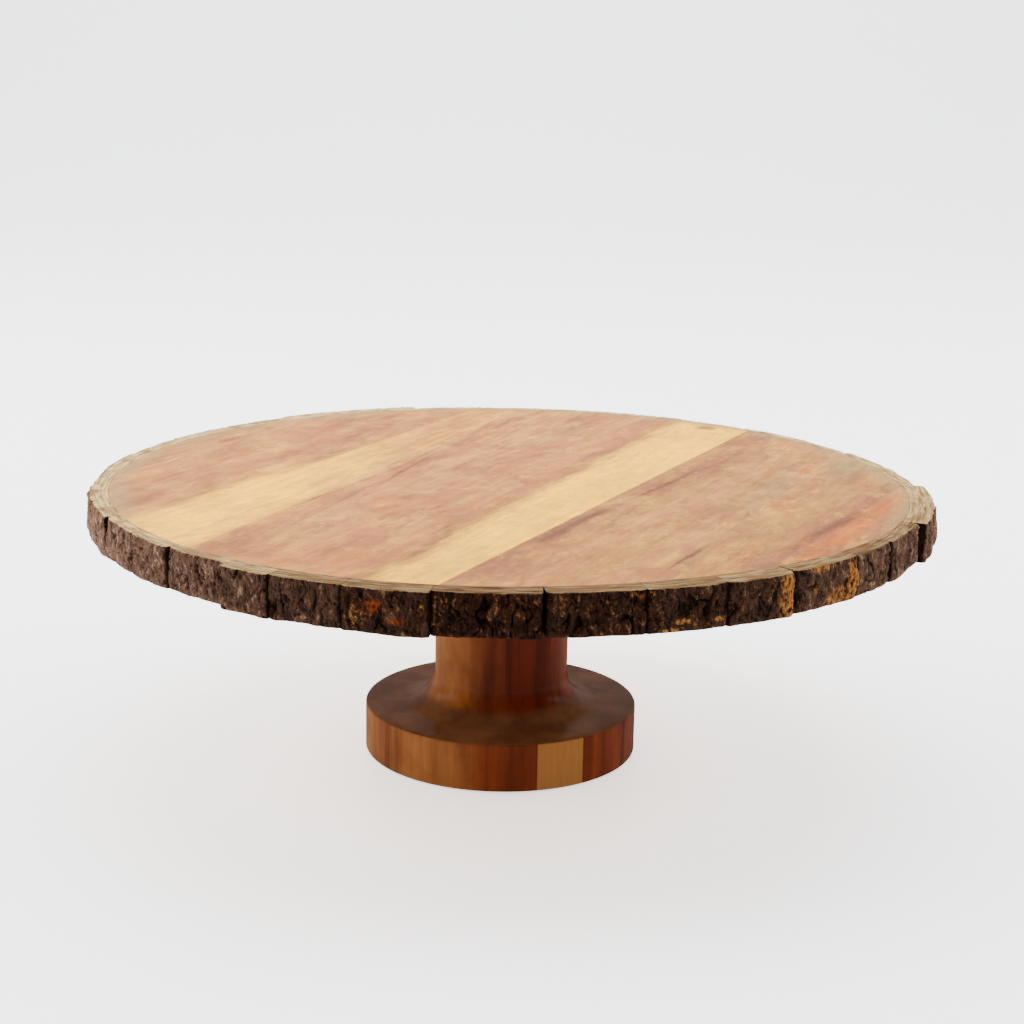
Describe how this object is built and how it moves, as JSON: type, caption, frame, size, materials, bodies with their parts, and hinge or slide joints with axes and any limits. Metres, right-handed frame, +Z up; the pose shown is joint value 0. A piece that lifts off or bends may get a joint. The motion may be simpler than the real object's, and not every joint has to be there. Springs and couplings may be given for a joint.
{
  "type": "cake stand",
  "caption": "Round wooden cake stand: a planked board edged with a ring of bark blocks, bolted to a turned, laminated pedestal with a wide foot.",
  "frame": {"origin": "on the surface the feet stand on, under the centre of the board", "axes": "+Z up; -Y towards the side seen from the front; +X to the right as seen from the front. The pedestal's axis is 2.0 mm to the left of the origin and 1.5 mm in front of it"},
  "size_m": [0.309, 0.3042, 0.1034],
  "materials": {
    "board_wood": "oiled hardwood, satin, pinkish tan with pale sapwood bands",
    "bark": "rough natural bark, dark brown, sealed and slightly glossy in places",
    "pedestal_wood": "turned and varnished hardwood, satin, reddish brown",
    "dowel_wood": "bare beech",
    "zinc_steel": "zinc-plated",
    "brass_metal": "machined",
    "rubber": "matt black"
  },
  "bodies": {
    "root": {"bark_block_01": "bark", "bark_block_02": "bark", "bark_block_03": "bark", "bark_block_04": "bark", "bark_block_05": "bark", "bark_block_06": "bark", "bark_block_07": "bark", "bark_block_08": "bark", "bark_block_09": "bark", "bark_block_10": "bark", "bark_block_11": "bark", "bark_block_12": "bark", "bark_block_13": "bark", "bark_block_14": "bark", "bark_block_15": "bark", "bark_block_16": "bark", "bark_block_17": "bark", "bark_block_18": "bark", "bark_block_19": "bark", "bark_block_20": "bark", "bark_block_21": "bark", "bark_block_22": "bark", "bark_block_23": "bark", "bark_block_24": "bark", "bark_block_25": "bark", "bark_block_26": "bark", "bark_block_27": "bark", "bark_block_28": "bark", "bark_block_29": "bark", "bark_block_30": "bark", "bark_block_31": "bark", "bark_block_32": "bark", "bark_block_33": "bark", "bolt": "zinc_steel", "dowel_1": "dowel_wood", "dowel_2": "dowel_wood", "flange_offcut_left": "pedestal_wood", "flange_offcut_right": "pedestal_wood", "pedestal_stave_1": "pedestal_wood", "pedestal_stave_2": "pedestal_wood", "pedestal_stave_3": "pedestal_wood", "pedestal_stave_4": "pedestal_wood", "pedestal_stave_5": "pedestal_wood", "pedestal_stave_6": "pedestal_wood", "pedestal_stave_7": "pedestal_wood", "plank_centre": "board_wood", "plank_left": "board_wood", "plank_right": "board_wood", "rubber_foot_1": "rubber", "rubber_foot_2": "rubber", "rubber_foot_3": "rubber", "rubber_foot_4": "rubber", "threaded_insert": "brass_metal", "washer": "zinc_steel"}
  },
  "joints": []
}
